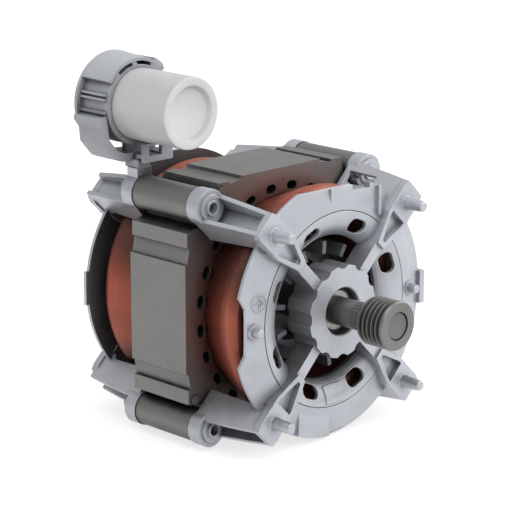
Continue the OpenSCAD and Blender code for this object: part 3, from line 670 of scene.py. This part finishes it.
# %% Raised lines
def ring_front(x, z):
    """Height along Y of the cone of the front ring, under a point."""
    cone_r, cone_y, cone_rise, cone_run = 41.7 * MM, 3.6 * MM, 3.0, 14.8
    return cone_y + (math.hypot(x, z) - cone_r) * cone_rise / cone_run


def raised_line(points, faces, path, width, height, closed=False):
    """Adds a raised line along a path of (x, z) points to a list of points and one of faces."""
    foot, crest, sunk = 1.3, 0.7, -0.02 * MM
    count = len(path)
    start = len(points)
    for i, (x, z) in enumerate(path):
        before = path[i - 1] if i or closed else path[i]
        after = path[(i + 1) % count] if i + 1 < count or closed else path[i]
        dx, dz = after[0] - before[0], after[1] - before[1]
        size = math.hypot(dx, dz)
        across = (-dz / size * width / 2, dx / size * width / 2)
        for side, lift in ((foot, sunk), (crest, height), (-crest, height), (-foot, sunk)):
            px, pz = x + across[0] * side, z + across[1] * side
            points.append((px, ring_front(px, pz) - lift, pz))
    for i in range(count if closed else count - 1):
        a, b = start + 4 * i, start + 4 * ((i + 1) % count)
        for k in range(3):
            faces.append((a + k, b + k, b + k + 1, a + k + 1))
    if not closed:
        last = start + 4 * (count - 1)
        faces.append((start, start + 1, start + 2, start + 3))
        faces.append((last + 3, last + 2, last + 1, last))


print("raised line tool ready")

# %% [markdown]
# ## Earth mark
# A protective earth mark is cast into the left of the front ring: a circle with a stem and three bars, each
# shorter than the last. On the tool it is a shallow engraving, so on the casting it stands up by a fraction
# of a millimetre. It is a generic sign and names nobody.

# %% Earth mark
mark_x, mark_z, mark_r = -44.7 * MM, 11.5 * MM, 3.5 * MM
line_width, line_height = 0.42 * MM, 0.34 * MM
stem_start, stem_step = 2.5, 0.5
bars = ((0.0, 2.3), (0.95, 1.5), (1.9, 0.7))

mark_points, mark_faces = [], []
circle = [(mark_x + mark_r * math.cos(math.radians(a)), mark_z + mark_r * math.sin(math.radians(a)))
          for a in range(0, 360, 8)]
raised_line(mark_points, mark_faces, circle, line_width, line_height, closed=True)
stem = [(mark_x - (stem_start - stem_step * k) * MM, mark_z) for k in range(6)]
raised_line(mark_points, mark_faces, stem, line_width, line_height)
for across, half in bars:
    bar = [(mark_x + across * MM, mark_z + half * (k / 3 - 1) * MM) for k in range(7)]
    raised_line(mark_points, mark_faces, bar, line_width, line_height)
add_piece("earth_mark", mark_points, mark_faces, "shield_alloy")
print("earth mark:", len(mark_faces), "faces")

# %% [markdown]
# ## Turned pieces
# Round details come off one more tool, which works like a lathe. It carries a profile of radii and heights
# round an axis that runs the way of the shaft, and joins each ring of points to the next. Blender's screw
# modifier could do the same, but a mesh written point by point needs no modifier and can close its own
# ends.

# %% Turned pieces
def turned_piece(name, centre_x, centre_z, profile, slot_name, steps=48, capped=False):
    """A surface of revolution about an axis along Y, from (radius, y) pairs. Caps close its ends."""
    points, faces = [], []
    for radius, y in profile:
        for k in range(steps):
            angle = 2 * math.pi * k / steps
            points.append((centre_x + radius * math.cos(angle), y, centre_z + radius * math.sin(angle)))
    for row in range(len(profile) - 1):
        for k in range(steps):
            a, b = row * steps + k, row * steps + (k + 1) % steps
            faces.append((a, b, b + steps, a + steps))
    if capped:
        faces.append(tuple(reversed(range(steps))))
        faces.append(tuple(range(len(points) - steps, len(points))))
    return add_piece(name, points, faces, slot_name, smooth=True)


print("turning tool ready")

# %% [markdown]
# ## Feet of the mounting studs
# A stud cast in one with its pad never meets it in a sharp corner, because the metal would tear there as it
# shrinks. A flared foot with a small fillet joins them. It is turned from a short profile, which says how
# far the foot stands out from the stud at each height, and the pattern of the studs comes from the record.

# %% Stud feet
studs = next(mount["dims"] for mount in frame["record"]["mounts"] if mount["name"] == "pad_studs")
stud_at, stud_r = studs["spacing_x_mm"] / 2, studs["stud_r_mm"]
flare = ((0.85, 0.03), (0.6, -0.08), (0.43, -0.28), (0.32, -0.6), (0.22, -1.2), (0.12, -2.0), (0.005, -3.0))
foot_profile = [((stud_r + out) * MM, y * MM) for out, y in flare]
corners = {"upper_left": (-1, 1), "upper_right": (1, 1), "lower_left": (-1, -1), "lower_right": (1, -1)}
for corner, (side_x, side_z) in corners.items():
    foot_x, foot_z = side_x * stud_at * MM, side_z * stud_at * MM
    turned_piece("stud_foot_" + corner, foot_x, foot_z, foot_profile, "shield_alloy")
print("stud feet:", len(corners))

# %% [markdown]
# ## Capacitor can
# The can is moulded in one with its front, which has a flat rim with a crisp corner and a shallow dish with
# a slanted wall. The CAD keeps a plainer, rounder cup, and this piece stands for it: one profile turned
# about the axis of the can, in the same place and of the same diameter and length.

# %% Capacitor can
can_low, can_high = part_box("capacitor_can")
can_x, can_z = (can_low[0] + can_high[0]) / 2, (can_low[2] + can_high[2]) / 2
can_front, can_rear = can_low[1], can_high[1]
can_r = (can_high[0] - can_low[0]) / 2
corner_r, rear_wall, rear_depth = 0.5 * MM, 1.2 * MM, 2.0 * MM
dish_r, dish_taper, dish_depth = 11.4 * MM, 1.0 * MM, 2.1 * MM
lip, lip_drop, root, root_rise = 0.15 * MM, 0.06 * MM, 0.2 * MM, 0.1 * MM

can_back = [(can_r - rear_wall, can_rear - rear_depth), (can_r - rear_wall, can_rear), (can_r, can_rear)]
can_corner = [(can_r - corner_r + corner_r * math.cos(math.radians(a)),
               can_front + corner_r - corner_r * math.sin(math.radians(a))) for a in range(0, 91, 18)]
can_dish = [(dish_r + lip, can_front), (dish_r, can_front + lip_drop),
            (dish_r - dish_taper, can_front + dish_depth - root_rise),
            (dish_r - dish_taper - root, can_front + dish_depth)]
can_piece = turned_piece("capacitor_can_moulded", can_x, can_z, can_back + can_corner + can_dish,
                         "can_plastic", steps=128, capped=True)
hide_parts("capacitor_can")
print("can:", len(can_piece.data.polygons), "faces, diameter", round(2 * can_r / MM, 2), "mm")

# %% [markdown]
# ## Floor
# The photograph is a catalogue picture on plain white. The floor is a plain pale sheet just under the
# motor. It brightens itself for the camera and for mirror-like reflections only, which keeps it white
# without sending extra light back up to the motor, and a faint shadow stays.

# %% Floor
floor_size, floor_drop = 14, 0.5 * MM
floor_grey, floor_rough, floor_glow = 0.4, 0.9, 0.72
bpy.ops.mesh.primitive_plane_add(size=floor_size, location=(0, 0, cad_low.z - floor_drop))
floor = bpy.context.object
floor.name = "studio_floor"
floor_paint = bpy.data.materials.new("pale floor")
floor_paint.use_nodes = True
floor_tree = floor_paint.node_tree
floor_shader = floor_tree.nodes["Principled BSDF"].inputs
floor_shader["Base Color"].default_value = (*grey(floor_grey), 1)
floor_shader["Roughness"].default_value = floor_rough
floor_shader["Emission Color"].default_value = (1, 1, 1, 1)
floor_seen = add(floor_tree, "LightPath").outputs
floor_rays = math_node(floor_tree, "MAXIMUM", floor_seen["Is Camera Ray"], floor_seen["Is Glossy Ray"])
floor_light = math_node(floor_tree, "MULTIPLY", floor_rays, floor_glow)
floor_tree.links.new(floor_light, floor_shader["Emission Strength"])
floor.data.materials.append(floor_paint)
print("floor at", round(floor.location.z / MM, 2), "mm")

# %% [markdown]
# ## Sky
# The sky plays two parts as well: a soft grey as a lamp, which fills the shadows without flattening them,
# and white as a background. The Light Path node tells the two apart, since it knows whether the camera
# looks straight at it.

# %% Sky
sky_lamp, sky_white = 0.52, 1.0
world = bpy.data.worlds.new("studio sky")
bpy.context.scene.world = world
world.use_nodes = True
sky = world.node_tree
sky_background = sky.nodes["Background"].inputs
sky_seen = add(sky, "LightPath").outputs
sky_rays = math_node(sky, "MAXIMUM", sky_seen["Is Camera Ray"], sky_seen["Is Transmission Ray"])
sky_background["Color"].default_value = (1, 1, 1, 1)
sky.links.new(ramp(sky, sky_rays, 0.0, 1.0, sky_lamp, sky_white), sky_background["Strength"])
print("sky:", sky_lamp, "as a lamp")

# %% [markdown]
# ## Lamps
# The castings are brightest on the faces that look to the right and to the front, and the left side of the
# stack is about as bright as its top. Three suns with wide discs give that: a key from the front, a broad
# one from above on the left, and a stronger one from the right. A sun lights every distance evenly, so the
# floor has no hot spot, and a wide disc makes the edge of each shadow soft.

# %% Lamps
def direction(azimuth, elevation):
    """Towards an azimuth, counted like the views from the drive end, and a height, both in degrees."""
    a, e = math.radians(azimuth), math.radians(elevation)
    return Vector((math.sin(a) * math.cos(e), -math.cos(a) * math.cos(e), math.sin(e)))


def sun(name, azimuth, elevation, strength, disc):
    """A sun that shines from a direction, with a disc that is so many degrees wide."""
    lamp = bpy.data.lights.new(name, "SUN")
    lamp.energy = strength
    lamp.angle = math.radians(disc)
    holder = bpy.data.objects.new(name, lamp)
    bpy.context.collection.objects.link(holder)
    holder.rotation_mode = "QUATERNION"
    holder.rotation_quaternion = direction(azimuth, elevation).to_track_quat("Z", "Y")


sun("key", azimuth=0, elevation=35, strength=0.90, disc=40)
sun("top", azimuth=-60, elevation=75, strength=0.85, disc=60)
sun("side", azimuth=74, elevation=30, strength=1.36, disc=50)
print("lamps: 3")

# %% [markdown]
# ## Camera
# The picture was taken with a long lens from the front left, a little above. Square edges of the stack and
# the round bosses fixed the angles: the shaft leaves the picture to the lower right while the stack's
# flanks stay nearly parallel, which only a distant camera does.

# %% Camera
view_azimuth, view_elevation, distance = -44.9, 14.9, 926.8 * MM
aim_right, aim_up = 1.67 * MM, 12.9 * MM
focal_pixels, image_pixels, sensor_width = 2137.1, 515, 36

towards_camera = direction(view_azimuth, view_elevation)
turn = math.radians(view_azimuth)
right = Vector((math.cos(turn), math.sin(turn), 0))
up = towards_camera.cross(right)
lens = bpy.data.cameras.new("catalogue lens")
lens.sensor_width = sensor_width
lens.lens = focal_pixels / image_pixels * sensor_width
camera = bpy.data.objects.new("catalogue lens", lens)
bpy.context.collection.objects.link(camera)
aim = Vector((0, stack_middle, 0)) + right * aim_right + up * aim_up
camera.location = aim + towards_camera * distance
camera.rotation_mode = "QUATERNION"
camera.rotation_quaternion = towards_camera.to_track_quat("Z", "Y")
bpy.context.scene.camera = camera
bpy.context.scene.view_settings.view_transform = "Standard"
print("camera at", [round(v / MM, 1) for v in camera.location], "lens", round(lens.lens, 1))
